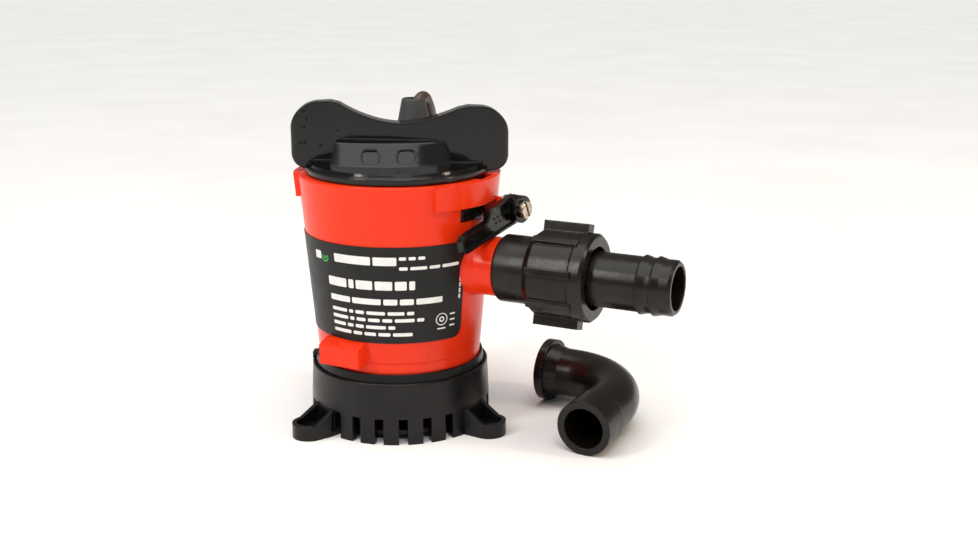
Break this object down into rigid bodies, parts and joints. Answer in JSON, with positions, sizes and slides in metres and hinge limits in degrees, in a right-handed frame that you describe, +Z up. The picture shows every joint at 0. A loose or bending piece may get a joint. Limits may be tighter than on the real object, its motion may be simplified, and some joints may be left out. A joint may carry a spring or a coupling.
{
  "type": "bilge pump",
  "caption": "Small submersible bilge pump: clip-off strainer base, tapered housing, twist-out motor cartridge with grip, hose tail on a union nut, loose elbow and lead.",
  "frame": {"origin": "on the pump's axis at the face the strainer base stands on", "axes": "+Z up along the pump's axis; the outlet points 30.5 degrees from +X towards -Y; -Y is the label side"},
  "size_m": [0.1404, 0.1797, 0.1236],
  "materials": {
    "base_plastic": "satin moulded",
    "housing_plastic": "glossy moulded",
    "label_film": "satin printed film",
    "fitting_plastic": "satin moulded",
    "seal_rubber": "matte",
    "cap_plastic": "glossy moulded",
    "boot_rubber": "matte",
    "steel": "bright",
    "ferrite": "dull",
    "copper": "enamelled",
    "carbon": "matte",
    "stainless": "bright",
    "brush_board": "matte",
    "bronze": "sintered",
    "impeller_plastic": "satin",
    "cable_jacket": "satin",
    "tie_plastic": "satin",
    "lead_brown": "satin",
    "lead_black": "satin"
  },
  "bodies": {
    "base": {"strainer_base": "base_plastic", "mounting_feet": "base_plastic"},
    "housing": {"housing": "housing_plastic", "label": "label_film", "port_adapter": "fitting_plastic", "port_gasket": "seal_rubber", "lever_spring": "stainless", "pivot_screw": "stainless"},
    "cartridge": {"cartridge_cap": "cap_plastic", "cartridge_seal": "seal_rubber", "cable_boot": "boot_rubber", "motor_can": "cap_plastic", "motor_yoke": "steel", "magnets": "ferrite", "brushes": "carbon", "brush_springs": "stainless", "brush_plate": "brush_board", "upper_bush": "bronze", "lower_bush": "bronze", "shaft_seal": "seal_rubber", "cable": "cable_jacket", "cable_coil": "cable_jacket", "cable_tie": "tie_plastic", "lead_brown": "lead_brown", "lead_black": "lead_black"},
    "rotor": {"motor_shaft": "stainless", "armature_core": "steel", "windings": "copper", "commutator": "copper", "impeller": "impeller_plastic"},
    "lever": {"lock_lever": "cap_plastic"},
    "nut": {"union_nut": "fitting_plastic"},
    "tail": {"hose_tail": "fitting_plastic"},
    "elbow": {"elbow_fitting": "fitting_plastic"}
  },
  "joints": [
    {"name": "housing_lift", "type": "slide", "parent": "base", "child": "housing", "axis": [0, 0, 1], "range_m": [0, 0.02]},
    {"name": "cartridge_turn", "type": "hinge", "parent": "housing", "child": "cartridge", "pos_m": [0, 0, 0.096], "axis": [0, 0, 1], "range_deg": [0, 17]},
    {"name": "rotor_spin", "type": "hinge", "parent": "cartridge", "child": "rotor", "pos_m": [0, 0, 0.05], "axis": [0, 0, 1], "continuous": true},
    {"name": "lever_swing", "type": "hinge", "parent": "housing", "child": "lever", "pos_m": [0.04188, -0.0106, 0.0834], "axis": [-0.766, 0.6428, 0], "range_deg": [0, 30], "stiffness_Nm_per_rad": 0.02, "springref_deg": -17.19},
    {"name": "nut_turn", "type": "hinge", "parent": "housing", "child": "nut", "pos_m": [0.05687, -0.0335, 0.06375], "axis": [0.8616, -0.5075, 0], "continuous": true},
    {"name": "tail_swivel", "type": "hinge", "parent": "housing", "child": "tail", "pos_m": [0.07755, -0.04568, 0.06375], "axis": [0.8616, -0.5075, 0], "continuous": true},
    {"name": "elbow_lift", "type": "slide", "parent": "base", "child": "elbow", "axis": [0, 0, 1], "range_m": [0, 0.015]}
  ]
}
